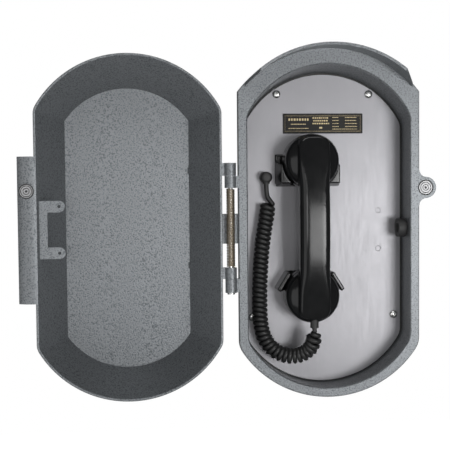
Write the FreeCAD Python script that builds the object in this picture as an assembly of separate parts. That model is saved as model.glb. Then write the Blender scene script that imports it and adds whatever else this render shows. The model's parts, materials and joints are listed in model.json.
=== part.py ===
import FreeCAD, Part
import math
import os

from FreeCAD import Vector

# Weatherproof wall telephone: a cast body with a hinged lid, a faceplate and a handset.
# Millimetres. +X right, +Z up, the front faces -Y, the back mounting face is Y = 0.

# ---- driving dimensions ------------------------------------------------------------------
BODY_DEPTH = 92.0            # back mounting face to front rim
FLANGE_THICK = 8.0
BACK_WALL = 4.0
LEDGE_THICK = 5.0            # ledge round the inside that carries the faceplate
EDGE_R, BACK_EDGE_R = 1.2, 5.0             # broken edges of the castings
PANEL_DEPTH = 38.0           # rim to the front of the faceplate
PANEL_THICK = 1.5
GASKET_THICK = 1.5
HOOD_REACH, HOOD_THICK, HOOD_HALF_W, HOOD_FRONT_HALF_W = 28.0, 3.0, 94.0, 80.0

# Outlines: half width, top, bottom, radius of the top and of the bottom arc, and of the
# corners beside each. The shell is drafted towards the wall and the lid towards its top.
FLANGE = (102.0, 199.0, -192.0, 128.3, 118.4, 2.0, 25.0)
SHELL_AT_FLANGE = (96.5, 187.0, -188.0, 110.5, 112.0, 24.0, 24.0)
SHELL_AT_WALL = (91.0, 183.0, -184.0, 105.0, 106.5, 24.0, 24.0)
OPENING_EDGE = (92.7, 180.0, -182.7, 103.2, 105.2, 23.2, 23.2)
OPENING = (91.5, 178.8, -181.5, 102.0, 104.0, 22.0, 22.0)
OPENING_AT_LEDGE = (92.8, 173.2, -182.2, 103.0, 105.0, 22.0, 22.0)
LEDGE_WINDOW = (86.0, 166.5, -176.0, 96.5, 98.5, 20.0, 20.0)
REAR_AT_LEDGE = (90.5, 180.5, -181.5, 103.5, 105.5, 20.0, 20.0)
REAR_AT_WALL = (87.5, 178.5, -179.5, 100.5, 102.0, 20.0, 20.0)
PANEL = (90.2, 170.8, -180.6, 100.5, 102.5, 20.0, 20.0)
GASKET_OUTSIDE = (92.5, 173.0, -181.9, 102.7, 104.7, 21.8, 21.8)
GASKET_INSIDE = (86.5, 167.0, -176.5, 97.0, 99.0, 20.0, 20.0)
LID_RIM_OUTSIDE = (102.0, 190.0, -190.0, 115.7, 115.7, 18.0, 18.0)
LID_RIM_INSIDE = (99.0, 187.0, -187.0, 112.7, 112.7, 16.0, 16.0)
LID_TOP = (72.3, 159.0, -164.5, 87.3, 87.3, 4.0, 4.0)
LID_FLOOR = (70.3, 157.0, -162.5, 85.3, 85.3, 3.0, 3.0)

HINGE_X = -110.8
HINGE_PROUD = 0.8            # hinge axis in front of the body's rim
LID_OPEN = 178.2             # degrees from shut to the rest position
LID_CENTRE = 110.4           # hinge axis to the lid's centre line
LID_WALL = 3.0
LID_DEPTH = 60.0             # rim to the lid's inner floor
PIN_R, KNUCKLE_R, SPRING_R = 2.5, 6.4, 4.8
PIN_BOTTOM, PIN_TOP = -72.2, 70.6
RUNNING_GAP = 0.05
TAB_NEAR, TAB_FAR, TAB_Z = 5.6, 8.8, (-18.5, 14.5)      # lugs that hold the spring's legs
CASTING_EDGE_X = -101.0      # inside the edge of both castings, where the knuckles' webs end

CATCH_X, CATCH_Z, EAR_R, MAGNET_R = 109.2, 41.5, 12.0, 8.6
STRIKE_R, STRIKE_PROUD, MAGNET_PROUD = 8.0, 1.0, 0.2
SINK_R, SINK_DEPTH = 3.4, 1.8              # countersinks for the screws at the catch
WING_TOP, WING_BOTTOM, WING_REACH, WING_THICK, WING_BOW = 78.7, -80.0, 17.5, 3.2, 5.0

HANDSET_X, EAR_Z, MOUTH_Z = -19.0, 72.0, -78.0
CAP_R, CAP_JOINT_Y, CAP_FACE_Y = 30.2, -80.0, -60.0
Y_CAP_INSIDE, MAGNET_THICK = CAP_FACE_Y - 3.5, 1.0
HANDLE_W = 34.5
CRADLE_GAP = 0.7

CORD_D, COIL_D = 5.3, 18.0

Y_RIM = -BODY_DEPTH
Y_PANEL = Y_RIM + PANEL_DEPTH
Y_PANEL_BACK = Y_PANEL + PANEL_THICK
Y_LEDGE = Y_PANEL_BACK + GASKET_THICK
HINGE_Y = Y_RIM - HINGE_PROUD
Y_LID_RIM = HINGE_Y - HINGE_PROUD        # the lid's rim plane when it is shut
X_AXIS, Y_AXIS, Z_AXIS = Vector(1, 0, 0), Vector(0, 1, 0), Vector(0, 0, 1)

FACEPLATE_SCREWS = [(-53.3, 148.8), (53.3, 148.8), (-82.6, -105.7), (82.6, -105.7)]
WALL_BOLTS = [(x, z) for x in (-55.0, 55.0) for z in (-120.0, 120.0)]
WALL_BOLT_R = 3.5
CONDUIT_R, CONDUIT_Y = 11.9, -25.0         # thread at its minor radius
HUB_R, HUB_BOTTOM, HUB_SEAT, HUB_NUT_SEAT, HUB_TOP = 15.0, -199.0, -189.0, -178.0, -174.0
ENTRY_Y, ENTRY_Z, ENTRY_R = -72.0, -4.0, 8.0
WELD_STUDS = [(64.6, 15.4), (64.6, -28.6), (-4.0, 15.4), (-4.0, -28.6)]
CRADLE_SCREWS = [(HANDSET_X - 22, 66.0), (HANDSET_X + 22, 66.0)]
CLIP_SCREWS = [(HANDSET_X - 12, -62.0), (HANDSET_X + 12, -62.0)]
GLAND_X, GLAND_Z, GLAND_R, GLAND_STEM_R = -67.0, 54.3, 6.5, 4.0
SCREW_R, SMALL_SCREW_R, POST_R = 2.0, 1.6, 6.5
PAN_HEAD, SMALL_PAN_HEAD = (4.6, 2.6), (3.2, 2.0)      # head radius and height
SHELL_X = SHELL_AT_FLANGE[0]
FOOT_THICK = 3.5             # feet of the cradle and of the lower clip
Y_FOOT_SEAT = Y_PANEL - 1.5  # where the heads of the foot screws bear
Y_HOLDER_FRONT = -80.5       # front of the cradle's cup and of the clip's arms


# ---- shape helpers -----------------------------------------------------------------------
def outline(y, sizes, x0=0.0):
    """Straight sides with a shallow arc at each end and a rounded corner beside each arc."""
    half_w, top, bottom, top_r, bottom_r, top_corner, bottom_corner = sizes

    def end(apex, big_r, corner_r, up):
        centre = apex - up * big_r
        fx = half_w - corner_r
        fz = centre + up * math.sqrt((big_r - corner_r) ** 2 - fx ** 2)
        reach = math.hypot(fx, fz - centre)
        on_arc = (fx / reach * big_r, centre + (fz - centre) / reach * big_r)
        mid_angle = 0.5 * math.atan2(abs(fz - centre), fx)
        mid = (fx + corner_r * math.cos(mid_angle), fz + up * corner_r * math.sin(mid_angle))
        return (half_w, fz), mid, on_arc, (0.0, apex)

    def at(point, side=1):
        return Vector(x0 + side * point[0], y, point[1])

    top_side, top_mid, top_arc, top_apex = end(top, top_r, top_corner, 1)
    low_side, low_mid, low_arc, low_apex = end(bottom, bottom_r, bottom_corner, -1)
    edges = [Part.LineSegment(at(low_side), at(top_side)),
             Part.Arc(at(top_side), at(top_mid), at(top_arc)),
             Part.Arc(at(top_arc), at(top_apex), at(top_arc, -1)),
             Part.Arc(at(top_arc, -1), at(top_mid, -1), at(top_side, -1)),
             Part.LineSegment(at(top_side, -1), at(low_side, -1)),
             Part.Arc(at(low_side, -1), at(low_mid, -1), at(low_arc, -1)),
             Part.Arc(at(low_arc, -1), at(low_apex), at(low_arc)),
             Part.Arc(at(low_arc), at(low_mid), at(low_side))]
    return Part.Wire([edge.toShape() for edge in edges])


def prism(wire, depth):
    return Part.Face(wire).extrude(Vector(0, depth, 0))


def loft(*wires):
    return Part.makeLoft(list(wires), True, True)


def box(x0, x1, y0, y1, z0, z1):
    return Part.makeBox(x1 - x0, y1 - y0, z1 - z0, Vector(x0, y0, z0))


def rod_y(x, z, y0, y1, r, r_end=None):
    """A round bar along Y, or a cone if r_end is given."""
    if r_end is None:
        return Part.makeCylinder(r, y1 - y0, Vector(x, y0, z), Y_AXIS)
    return Part.makeCone(r, r_end, y1 - y0, Vector(x, y0, z), Y_AXIS)


def rod_z(x, y, z0, z1, r):
    return Part.makeCylinder(r, z1 - z0, Vector(x, y, z0), Z_AXIS)


def rod_x(x0, x1, y, z, r):
    return Part.makeCylinder(r, x1 - x0, Vector(x0, y, z), X_AXIS)


def fuse(first, *others):
    return first.fuse(list(others)).removeSplitter()


def polygon_prism(points, z0, z1):
    """An outline in X and Y, raised along Z."""
    corners = [Vector(x, y, z0) for x, y in points]
    return Part.Face(Part.makePolygon(corners + corners[:1])).extrude(Vector(0, 0, z1 - z0))


def plate_y(points, y0, y1):
    """An outline in X and Z, raised along Y."""
    corners = [Vector(x, y0, z) for x, z in points]
    return Part.Face(Part.makePolygon(corners + corners[:1])).extrude(Vector(0, y1 - y0, 0))


def pan_screw(x, z, y_seat, head_r, head_h, shank_r, shank):
    """A pan head screw driven along +Y, with a crossed recess."""
    head = rod_y(x, z, y_seat - head_h, y_seat, head_r * 0.72, head_r)
    arm, deep = head_r * 0.55, head_h * 0.45
    for dx, dz in ((arm, 0.5), (0.5, arm)):
        head = head.cut(box(x - dx, x + dx, y_seat - head_h, y_seat - head_h + deep, z - dz, z + dz))
    return fuse(head, rod_y(x, z, y_seat, y_seat + shank, shank_r))


def swing(shape):
    """Turn a piece of the shut lid to the lid's open rest position."""
    turned = shape.copy()
    turned.rotate(Vector(HINGE_X, HINGE_Y, 0), Z_AXIS, -LID_OPEN)
    return turned


# ---- body --------------------------------------------------------------------------------
LID_KNUCKLES = [(56.3, 70.4), (-57.1, -44.7)]
BODY_KNUCKLES = [(43.0, 56.1), (PIN_BOTTOM, -57.3)]
WEB_THICK = 7.0


def knuckle(z0, z1, into_y):
    """Half of a hinge leaf: a round eye with a web that reaches its casting."""
    web_y0, web_y1 = sorted((HINGE_Y, HINGE_Y + into_y))
    eye = rod_z(HINGE_X, HINGE_Y, z0, z1, KNUCKLE_R)
    return fuse(eye, box(HINGE_X, CASTING_EDGE_X, web_y0, web_y1, z0, z1))


def body_shell():
    shell = loft(outline(0, SHELL_AT_WALL), outline(Y_RIM + FLANGE_THICK, SHELL_AT_FLANGE))
    back_edges = [e for e in shell.Edges if e.BoundBox.YMax < 0.01 and e.BoundBox.YMin > -0.01]
    shell = shell.makeFillet(BACK_EDGE_R, back_edges)
    flange = prism(outline(Y_RIM, FLANGE), FLANGE_THICK)
    front_edges = [e for e in flange.Edges if e.BoundBox.YMax < Y_RIM + 0.01]
    flange = flange.makeFillet(EDGE_R, front_edges)
    return fuse(shell, flange, drip_hood(), catch_ear())


def drip_hood():
    """A rain visor that carries the top arc of the flange forward, cut back at its ends."""
    top, radius = FLANGE[1], FLANGE[3]
    centre = top - radius

    def arc(r):
        z = centre + math.sqrt(r ** 2 - HOOD_HALF_W ** 2)
        return [Vector(-HOOD_HALF_W, Y_RIM + 1, z), Vector(0, Y_RIM + 1, centre + r),
                Vector(HOOD_HALF_W, Y_RIM + 1, z)]

    outer, inner = arc(radius), arc(radius - HOOD_THICK)
    wire = Part.Wire([Part.Arc(*outer).toShape(), Part.LineSegment(outer[2], inner[2]).toShape(),
                      Part.Arc(*inner[::-1]).toShape(), Part.LineSegment(inner[0], outer[0]).toShape()])
    visor = Part.Face(wire).extrude(Vector(0, -HOOD_REACH - 1, 0))
    corners = [(HOOD_FRONT_HALF_W, Y_RIM - HOOD_REACH), (HOOD_HALF_W, Y_RIM - 1), (HOOD_HALF_W, Y_RIM + 2)]
    plan = corners + [(-x, y) for x, y in reversed(corners)]
    return visor.common(polygon_prism(plan, centre, top + 1))


def catch_ear():
    """A round ear on the free side of the flange, blended into it by two hollow curves."""
    blend_r, flange_x = 8.0, FLANGE[0]
    blend_x = flange_x + blend_r
    rise = math.sqrt((EAR_R + blend_r) ** 2 - (blend_x - CATCH_X) ** 2)
    touch = EAR_R / (EAR_R + blend_r)

    def side(up):
        start = Vector(flange_x, Y_RIM, CATCH_Z + up * rise)
        half_turn = 0.5 * math.atan2(rise, blend_x - CATCH_X)
        mid = Vector(blend_x - blend_r * math.cos(half_turn), Y_RIM,
                     CATCH_Z + up * (rise - blend_r * math.sin(half_turn)))
        end = Vector(CATCH_X + touch * (blend_x - CATCH_X), Y_RIM, CATCH_Z + up * touch * rise)
        return start, mid, end

    top, low = side(1), side(-1)
    tip = Vector(CATCH_X + EAR_R, Y_RIM, CATCH_Z)
    inner = [Vector(flange_x - 3, Y_RIM, low[0].z), Vector(flange_x - 3, Y_RIM, top[0].z)]
    edges = [Part.Arc(*top), Part.Arc(top[2], tip, low[2]), Part.Arc(*low[::-1]),
             Part.LineSegment(low[0], inner[0]), Part.LineSegment(*inner),
             Part.LineSegment(inner[1], top[0])]
    return prism(Part.Wire([edge.toShape() for edge in edges]), FLANGE_THICK)


def body_casting():
    body = body_shell()
    front_room = loft(outline(Y_RIM - 0.01, OPENING), outline(Y_LEDGE, OPENING_AT_LEDGE))
    window = prism(outline(Y_LEDGE - 0.01, LEDGE_WINDOW), LEDGE_THICK + 1)
    rear_room = loft(outline(Y_LEDGE + LEDGE_THICK, REAR_AT_LEDGE), outline(-BACK_WALL, REAR_AT_WALL))
    mouth_edge = loft(outline(Y_RIM - 0.01, OPENING_EDGE), outline(Y_RIM + EDGE_R, OPENING))
    body = body.cut([front_room, window, rear_room, mouth_edge])
    posts = [rod_y(x, z, Y_PANEL_BACK, -BACK_WALL + 0.5, POST_R) for x, z in FACEPLATE_SCREWS]
    boss = rod_z(0, CONDUIT_Y, HUB_SEAT, HUB_NUT_SEAT, HUB_R + 5)
    tab = box(HINGE_X + 2.0, CASTING_EDGE_X, HINGE_Y + TAB_NEAR, HINGE_Y + TAB_FAR, *TAB_Z)
    body = fuse(body, boss, tab, *posts, *[knuckle(z0, z1, WEB_THICK) for z0, z1 in BODY_KNUCKLES])
    holes = [rod_y(x, z, Y_PANEL_BACK - 1, -12, SCREW_R) for x, z in FACEPLATE_SCREWS]
    holes += [rod_y(x, z, -BACK_WALL - 1, 1, WALL_BOLT_R) for x, z in WALL_BOLTS]
    holes += [rod_z(0, CONDUIT_Y, HUB_SEAT - 1, HUB_NUT_SEAT + 1, HUB_R),
              rod_z(HINGE_X, HINGE_Y, PIN_BOTTOM, PIN_TOP + 1, PIN_R),
              rod_x(SHELL_X - 9, SHELL_X + 1, ENTRY_Y, ENTRY_Z, ENTRY_R),
              rod_y(CATCH_X, CATCH_Z, Y_RIM - 0.1, Y_RIM + 5, MAGNET_R + 0.2),
              rod_y(CATCH_X, CATCH_Z, Y_RIM, Y_RIM + FLANGE_THICK + 1, SMALL_SCREW_R)]
    return body.cut(holes)


def conduit_hub():
    """A threaded hub for the line's conduit, screwed through the bottom wall."""
    hub = fuse(rod_z(0, CONDUIT_Y, HUB_BOTTOM, HUB_SEAT, HUB_R + 3),
               rod_z(0, CONDUIT_Y, HUB_SEAT, HUB_TOP, HUB_R))
    return hub.cut([rod_z(0, CONDUIT_Y, HUB_BOTTOM - 1, HUB_SEAT, CONDUIT_R),
                    rod_z(0, CONDUIT_Y, HUB_SEAT - 1, HUB_TOP + 1, CONDUIT_R - 1.5)])


def conduit_nut():
    ring = rod_z(0, CONDUIT_Y, HUB_NUT_SEAT, HUB_TOP, HUB_R + 4)
    return ring.cut(rod_z(0, CONDUIT_Y, HUB_NUT_SEAT - 1, HUB_TOP + 1, HUB_R))


# ---- lid, drawn shut ---------------------------------------------------------------------
LID_X = HINGE_X + LID_CENTRE
LID_HALF_W, LID_FLOOR_HALF_W = LID_RIM_OUTSIDE[0], LID_FLOOR[0]
Y_LID_FLOOR = Y_LID_RIM - LID_DEPTH
RIM_EDGE_R = 0.9


def lid_hollow(y_rim):
    """The room inside the lid, from the plane of its rim."""
    return loft(outline(y_rim, LID_RIM_INSIDE, LID_X), outline(Y_LID_FLOOR, LID_FLOOR, LID_X))


def lid_casting():
    outer = loft(outline(Y_LID_RIM, LID_RIM_OUTSIDE, LID_X),
                 outline(Y_LID_FLOOR - LID_WALL, LID_TOP, LID_X))
    inner = lid_hollow(Y_LID_RIM + 0.01)
    lid = outer.cut(inner)
    ribs = [rib.cut(lid) for rib in lid_ribs()]
    rim_edges = [e for e in lid.Edges if e.BoundBox.YMin > Y_LID_RIM - 0.05]
    lid = lid.makeFillet(RIM_EDGE_R, rim_edges)
    tab = box(HINGE_X + 2.0, HINGE_X + 14.0, HINGE_Y - TAB_FAR, HINGE_Y - TAB_NEAR, *TAB_Z)
    lid = fuse(lid, *ribs, lid_wing(), tab.cut(inner),
               *[knuckle(z0, z1, -WEB_THICK).cut(inner) for z0, z1 in LID_KNUCKLES])
    holes = [rod_z(HINGE_X, HINGE_Y, PIN_BOTTOM, PIN_TOP + 1, PIN_R + RUNNING_GAP),
             rod_y(CATCH_X, CATCH_Z, Y_LID_RIM - 1, Y_LID_RIM + 1, STRIKE_R + 0.2),
             rod_y(CATCH_X, CATCH_Z, Y_LID_RIM - 12, Y_LID_RIM, SMALL_SCREW_R)]
    return lid.cut(holes)


def lid_ribs():
    """Two gussets that stiffen the hinge side wall behind the knuckles."""
    floor_x, wall_x, half_thick = LID_X - LID_FLOOR_HALF_W, LID_X - LID_RIM_INSIDE[0], 3.5
    side = [(wall_x - 0.5, Y_LID_RIM - 3), (floor_x + 1.5, Y_LID_FLOOR),
            (floor_x - 3, Y_LID_FLOOR - 1), (wall_x - 2, Y_LID_RIM - 3)]
    return [polygon_prism(side, z - half_thick, z + half_thick) for z in (63.0, -46.3)]


def lid_wing():
    """The pull lip along the free side, bowed away from the body to leave room for fingers."""
    x0, x1 = LID_X + LID_HALF_W - 2.5, LID_X + LID_HALF_W + WING_REACH
    front = [Vector(x0, Y_LID_RIM, WING_BOTTOM), Vector(x0 + 12, Y_LID_RIM - 0.6, WING_BOTTOM),
             Vector(x1, Y_LID_RIM - WING_BOW, WING_BOTTOM)]
    back = [point + Vector(0, -WING_THICK, 0) for point in front]
    wire = Part.Wire([Part.Arc(*front).toShape(), Part.LineSegment(front[2], back[2]).toShape(),
                      Part.Arc(*back[::-1]).toShape(), Part.LineSegment(back[0], front[0]).toShape()])
    return Part.Face(wire).extrude(Vector(0, 0, WING_TOP - WING_BOTTOM))


def latch_bracket(lid):
    """A C shaped keeper below the lid's rim, with a hole in the tip of each arm."""
    y0, y1 = Y_LID_RIM - 9.0, Y_LID_RIM - 5.0
    spine_x, tip_x, arm_r, arm_hole_r = HINGE_X + 198.5, HINGE_X + 186.0, 6.3, 1.8
    bracket = box(spine_x, HINGE_X + 212, y0, y1, -32.0, 31.0)
    arms, holes = [], []
    for z in (24.7, -25.7):
        arms.append(fuse(box(tip_x, spine_x + 1, y0, y1, z - arm_r, z + arm_r),
                         rod_y(tip_x, z, y0, y1, arm_r)))
        holes.append(rod_y(tip_x, z, y0 - 1, y1 + 1, arm_hole_r))
    return fuse(bracket, *arms).cut(holes + [lid, lid_outside()])


def lid_outside():
    """Everything beyond the lid's outer skin, used to trim pieces that end on its wall."""
    near_wall = box(LID_X + 60, LID_X + 110, Y_LID_RIM - 12, Y_LID_RIM - 2, -40, 40)
    return near_wall.cut(lid_hollow(Y_LID_RIM))


# ---- faceplate and what it carries ---------------------------------------------------------
def faceplate():
    plate = prism(outline(Y_PANEL, PANEL), PANEL_THICK)
    holes = [(x, z, SCREW_R + 0.3) for x, z in FACEPLATE_SCREWS] + [(GLAND_X, GLAND_Z, GLAND_STEM_R)]
    holes += [(x, z, SMALL_SCREW_R + 0.1) for x, z in CRADLE_SCREWS + CLIP_SCREWS]
    return plate.cut([rod_y(x, z, Y_PANEL - 1, Y_PANEL_BACK + 1, r) for x, z, r in holes])


def faceplate_gasket():
    outer = prism(outline(Y_PANEL_BACK, GASKET_OUTSIDE), GASKET_THICK)
    inner = prism(outline(Y_PANEL_BACK - 1, GASKET_INSIDE), GASKET_THICK + 2)
    posts = [rod_y(x, z, Y_PANEL_BACK - 1, Y_LEDGE + 1, POST_R + 0.3) for x, z in FACEPLATE_SCREWS]
    return outer.cut([inner] + posts)


def screw_group(places, y_seat, head_r, head_h, shank_r, shank):
    return Part.makeCompound([pan_screw(x, z, y_seat, head_r, head_h, shank_r, shank) for x, z in places])


def hex_nut(x, z, y0, thick, corner_r, bore_r):
    turns = [math.radians(60 * k) for k in range(6)]
    corners = [(x + corner_r * math.cos(turn), z + corner_r * math.sin(turn)) for turn in turns]
    return plate_y(corners, y0, y0 + thick).cut(rod_y(x, z, y0 - 1, y0 + thick + 1, bore_r))


STUD_R, STUD_LENGTH, SPACER_R = 1.5, 16.0, 3.0
BOARD_Y, BOARD_THICK = Y_PANEL_BACK + 9.0, 1.6
BOARD_BACK = BOARD_Y + BOARD_THICK


def weld_studs():
    return Part.makeCompound([rod_y(x, z, Y_PANEL_BACK, Y_PANEL_BACK + STUD_LENGTH, STUD_R)
                              for x, z in WELD_STUDS])


def stud_nuts():
    return Part.makeCompound([hex_nut(x, z, BOARD_BACK, 2.4, 3.2, STUD_R) for x, z in WELD_STUDS])


def board_spacers():
    return Part.makeCompound([rod_y(x, z, Y_PANEL_BACK, BOARD_Y, SPACER_R).cut(
        rod_y(x, z, Y_PANEL_BACK - 1, BOARD_Y + 1, STUD_R)) for x, z in WELD_STUDS])


def circuit_board():
    board = box(-8, 72, BOARD_Y, BOARD_BACK, -36, 22)
    return board.cut([rod_y(x, z, BOARD_Y - 1, BOARD_BACK + 1, STUD_R + 0.1) for x, z in WELD_STUDS])


def board_parts():
    """Line transformer, relay, surge arrester and two capacitors on the back of the board."""
    y = BOARD_BACK
    transformer = box(10, 30, y, y + 15, -20, 0)
    relay = box(36, 52, y, y + 11, -24, -14)
    arrester = rod_y(44, 4, y, y + 8, 5)
    capacitors = [rod_y(x, 12, y, y + 12, 4) for x in (22, 34)]
    return Part.makeCompound([transformer, relay, arrester] + capacitors)


TERMINAL_Z = -75.0
TERMINAL_XS = [17.0 + 9.0 * k for k in range(5)]
Y_TERMINAL_SEAT = -14.0


def terminal_block():
    block = box(TERMINAL_XS[0] - 7, TERMINAL_XS[-1] + 7, Y_TERMINAL_SEAT - 5, -BACK_WALL,
                TERMINAL_Z - 7, TERMINAL_Z + 7)
    return block.cut([rod_y(x, TERMINAL_Z, Y_TERMINAL_SEAT - 6, Y_TERMINAL_SEAT, 3.2) for x in TERMINAL_XS])


def terminal_screws():
    return Part.makeCompound([rod_y(x, TERMINAL_Z, Y_TERMINAL_SEAT - 3, Y_TERMINAL_SEAT, 2.6)
                              for x in TERMINAL_XS])


def ringer():
    """A round sounder that stands on the back wall, with a recessed face and a sound hole."""
    x, z, y_front, radius = 35, 60, -34, 19
    can = rod_y(x, z, y_front, -BACK_WALL, radius)
    return can.cut([rod_y(x, z, y_front - 1, y_front + 4, radius - 4),
                    rod_y(x, z, y_front + 3, y_front + 8, 3)])


def reed_switch():
    """A sealed switch behind the faceplate that the handset's magnet closes."""
    return box(HANDSET_X - 12, HANDSET_X + 12, Y_PANEL_BACK, Y_PANEL_BACK + 6, EAR_Z - 4, EAR_Z + 4)


def nameplate():
    plate = box(-46.1, 46.3, Y_PANEL - 0.8, Y_PANEL, 104.0, 126.8)
    corners = [e for e in plate.Edges if e.BoundBox.YLength > 0.5]
    return plate.makeFillet(1.0, corners)


def handset_cradle():
    """A half cup that carries the ear cap, on a wide foot."""
    y_foot, y_front = Y_PANEL - FOOT_THICK, Y_HOLDER_FRONT
    foot = loft(rectangle(Y_PANEL, 37.2, 46.8, 80.8), rectangle(y_foot, 36.4, 47.2, 80.2))
    wall = loft(rectangle(y_foot, 36.4, 43.5, 72.0), rectangle(y_front, 33.4, 47.5, 68.0))
    room = rod_y(HANDSET_X, EAR_Z, y_front - 1, y_foot, CAP_R + CRADLE_GAP)
    slot = box(HANDSET_X - 21, HANDSET_X + 21, y_front - 1, y_front + 12, 40, 60)
    dish = rod_y(HANDSET_X, EAR_Z, y_foot - 0.01, y_foot + 2, 16)
    return fuse(wall, foot).cut([room, slot, dish] + foot_drills(CRADLE_SCREWS))


def foot_drills(places):
    """Screw holes through a foot, each with a recess for its head."""
    recess_r = SMALL_PAN_HEAD[0] + 0.2
    drills = [rod_y(x, z, Y_PANEL - FOOT_THICK - 1, Y_FOOT_SEAT, recess_r) for x, z in places]
    return drills + [rod_y(x, z, Y_FOOT_SEAT - 1, Y_PANEL + 1, SMALL_SCREW_R) for x, z in places]


def rectangle(y, half_w, z0, z1):
    """An upright rectangle centred on the handset."""
    corners = [Vector(HANDSET_X - half_w, y, z0), Vector(HANDSET_X + half_w, y, z0),
               Vector(HANDSET_X + half_w, y, z1), Vector(HANDSET_X - half_w, y, z1)]
    return Part.makePolygon(corners + corners[:1])


def handset_clip():
    """A foot with two slanted arms that steady the mouth cap from above."""
    inner_r, arm_thick, arm_length, arm_slide = CAP_R + CRADLE_GAP, 5.0, 24.0, 3.5
    y_foot, y_front = Y_PANEL - FOOT_THICK, Y_HOLDER_FRONT
    foot = plate_y([(HANDSET_X - 24, -52.5), (HANDSET_X + 24, -52.5), (HANDSET_X + 33, -74),
                    (HANDSET_X + 22, -80), (HANDSET_X - 22, -80), (HANDSET_X - 33, -74)],
                   y_foot, Y_PANEL)
    arms = []
    for angle, slide in ((32.0, -arm_slide), (148.0, arm_slide)):
        arm = box(inner_r, inner_r + arm_thick, y_front, Y_PANEL,
                  slide - arm_length / 2, slide + arm_length / 2)
        long_edges = [e for e in arm.Edges if e.BoundBox.YLength > 5]
        arm = arm.makeFillet(1.6, long_edges)
        arm.rotate(Vector(0, 0, 0), Y_AXIS, -angle)
        arm.translate(Vector(HANDSET_X, 0, MOUTH_Z))
        arms.append(arm)
    return fuse(foot, *arms).cut(foot_drills(CLIP_SCREWS))


def cord_gland():
    """An elbow on the faceplate that lets the cord out downwards."""
    y = CORD_ROUTE[0][1]
    dome = rod_y(GLAND_X, GLAND_Z, Y_PANEL - 15, Y_PANEL, GLAND_R)
    front = [e for e in dome.Edges if e.BoundBox.YMax < Y_PANEL - 14]
    dome = dome.makeFillet(4.0, front)
    nozzle = rod_z(GLAND_X, y, CORD_ROUTE[0][2], GLAND_Z, GLAND_STEM_R)
    return fuse(dome, nozzle, rod_y(GLAND_X, GLAND_Z, Y_PANEL, Y_PANEL_BACK + 8, GLAND_STEM_R))


def gland_nut():
    return hex_nut(GLAND_X, GLAND_Z, Y_PANEL_BACK, 4.0, 7.5, GLAND_STEM_R)


# ---- handset -------------------------------------------------------------------------------
Y_CUP = CAP_JOINT_Y - 9.0    # front end of each cup's straight wall
CUP_TOP_R, CUP_RISE, CUP_WALL = 12.0, 12.0, 3.0


def handset_body():
    half = HANDLE_W / 2

    def at(y, z):
        return Vector(HANDSET_X - half, y, z)

    front = (at(-104, -101), at(-114, -2), at(-102, 97))
    back = (at(CAP_JOINT_Y, 46), at(-92, -3), at(CAP_JOINT_Y, -52))
    edges = [Part.Arc(*front), Part.LineSegment(front[2], at(CAP_JOINT_Y - 4, 99)),
             Part.LineSegment(at(CAP_JOINT_Y - 4, 99), at(CAP_JOINT_Y, 94)),
             Part.LineSegment(at(CAP_JOINT_Y, 94), back[0]), Part.Arc(*back),
             Part.LineSegment(back[2], at(CAP_JOINT_Y, -98)),
             Part.LineSegment(at(CAP_JOINT_Y, -98), at(CAP_JOINT_Y - 4, -103)),
             Part.LineSegment(at(CAP_JOINT_Y - 4, -103), front[0])]
    side = Part.Face(Part.Wire([edge.toShape() for edge in edges]))
    handle = side.extrude(Vector(HANDLE_W, 0, 0))
    long_edges = [e for e in handle.Edges if e.BoundBox.ZLength > 150 or
                  (e.BoundBox.XLength > 30 and e.BoundBox.YMax < -100)]
    handle = handle.makeFillet(6.0, long_edges)
    grip_edges = [e for e in handle.Edges if e.BoundBox.XLength < 0.1 and 90 < e.BoundBox.ZLength < 110
                  and e.BoundBox.YMax > -85]
    handle = handle.makeFillet(5.0, grip_edges)
    cups = []
    for z in (EAR_Z, MOUTH_Z):
        cups.append(fuse(rod_y(HANDSET_X, z, Y_CUP, CAP_JOINT_Y, CAP_R), cup_dome(z)))
    body = fuse(handle, *cups)
    rooms = []
    for z in (EAR_Z, MOUTH_Z):
        rooms += [rod_y(HANDSET_X, z, Y_CUP, CAP_JOINT_Y + 1, CAP_R - CUP_WALL),
                  rod_y(HANDSET_X, z, Y_CUP - CUP_RISE + CUP_WALL, Y_CUP + 1, CUP_TOP_R)]
    wire_way = rod_z(HANDSET_X, -101, MOUTH_Z, EAR_Z, 4.5)
    return body.cut(rooms + [wire_way])


def cup_dome(z):
    """The rounded shoulder between a cup's straight wall and the handle."""
    rim, top = Vector(HANDSET_X + CAP_R, Y_CUP, z), Vector(HANDSET_X + CUP_TOP_R, Y_CUP - CUP_RISE, z)
    middle = Vector(HANDSET_X + 0.5 * (CAP_R + CUP_TOP_R) + 4, Y_CUP - 0.72 * CUP_RISE, z)
    centre_top, centre = Vector(HANDSET_X, Y_CUP - CUP_RISE, z), Vector(HANDSET_X, Y_CUP, z)
    edges = [Part.Arc(rim, middle, top), Part.LineSegment(top, centre_top),
             Part.LineSegment(centre_top, centre), Part.LineSegment(centre, rim)]
    half = Part.Face(Part.Wire([edge.toShape() for edge in edges]))
    return half.revolve(centre, Y_AXIS, 360)


def cap(z, rings):
    """A screwed cap with rings of small sound holes in its face."""
    shoulder, hole_r = CAP_FACE_Y - 8, 1.1
    straight = rod_y(HANDSET_X, z, CAP_JOINT_Y, shoulder, CAP_R)
    taper = rod_y(HANDSET_X, z, shoulder, CAP_FACE_Y, CAP_R, CAP_R - 4)
    room = rod_y(HANDSET_X, z, CAP_JOINT_Y - 1, Y_CAP_INSIDE, CAP_R - 4.5)
    holes = []
    for radius, count in rings:
        for k in range(count):
            turn = 2 * math.pi * k / count
            holes.append(rod_y(HANDSET_X + radius * math.cos(turn), z + radius * math.sin(turn),
                               CAP_FACE_Y - 5, CAP_FACE_Y + 1, hole_r))
    return fuse(straight, taper).cut([room] + holes)


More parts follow.
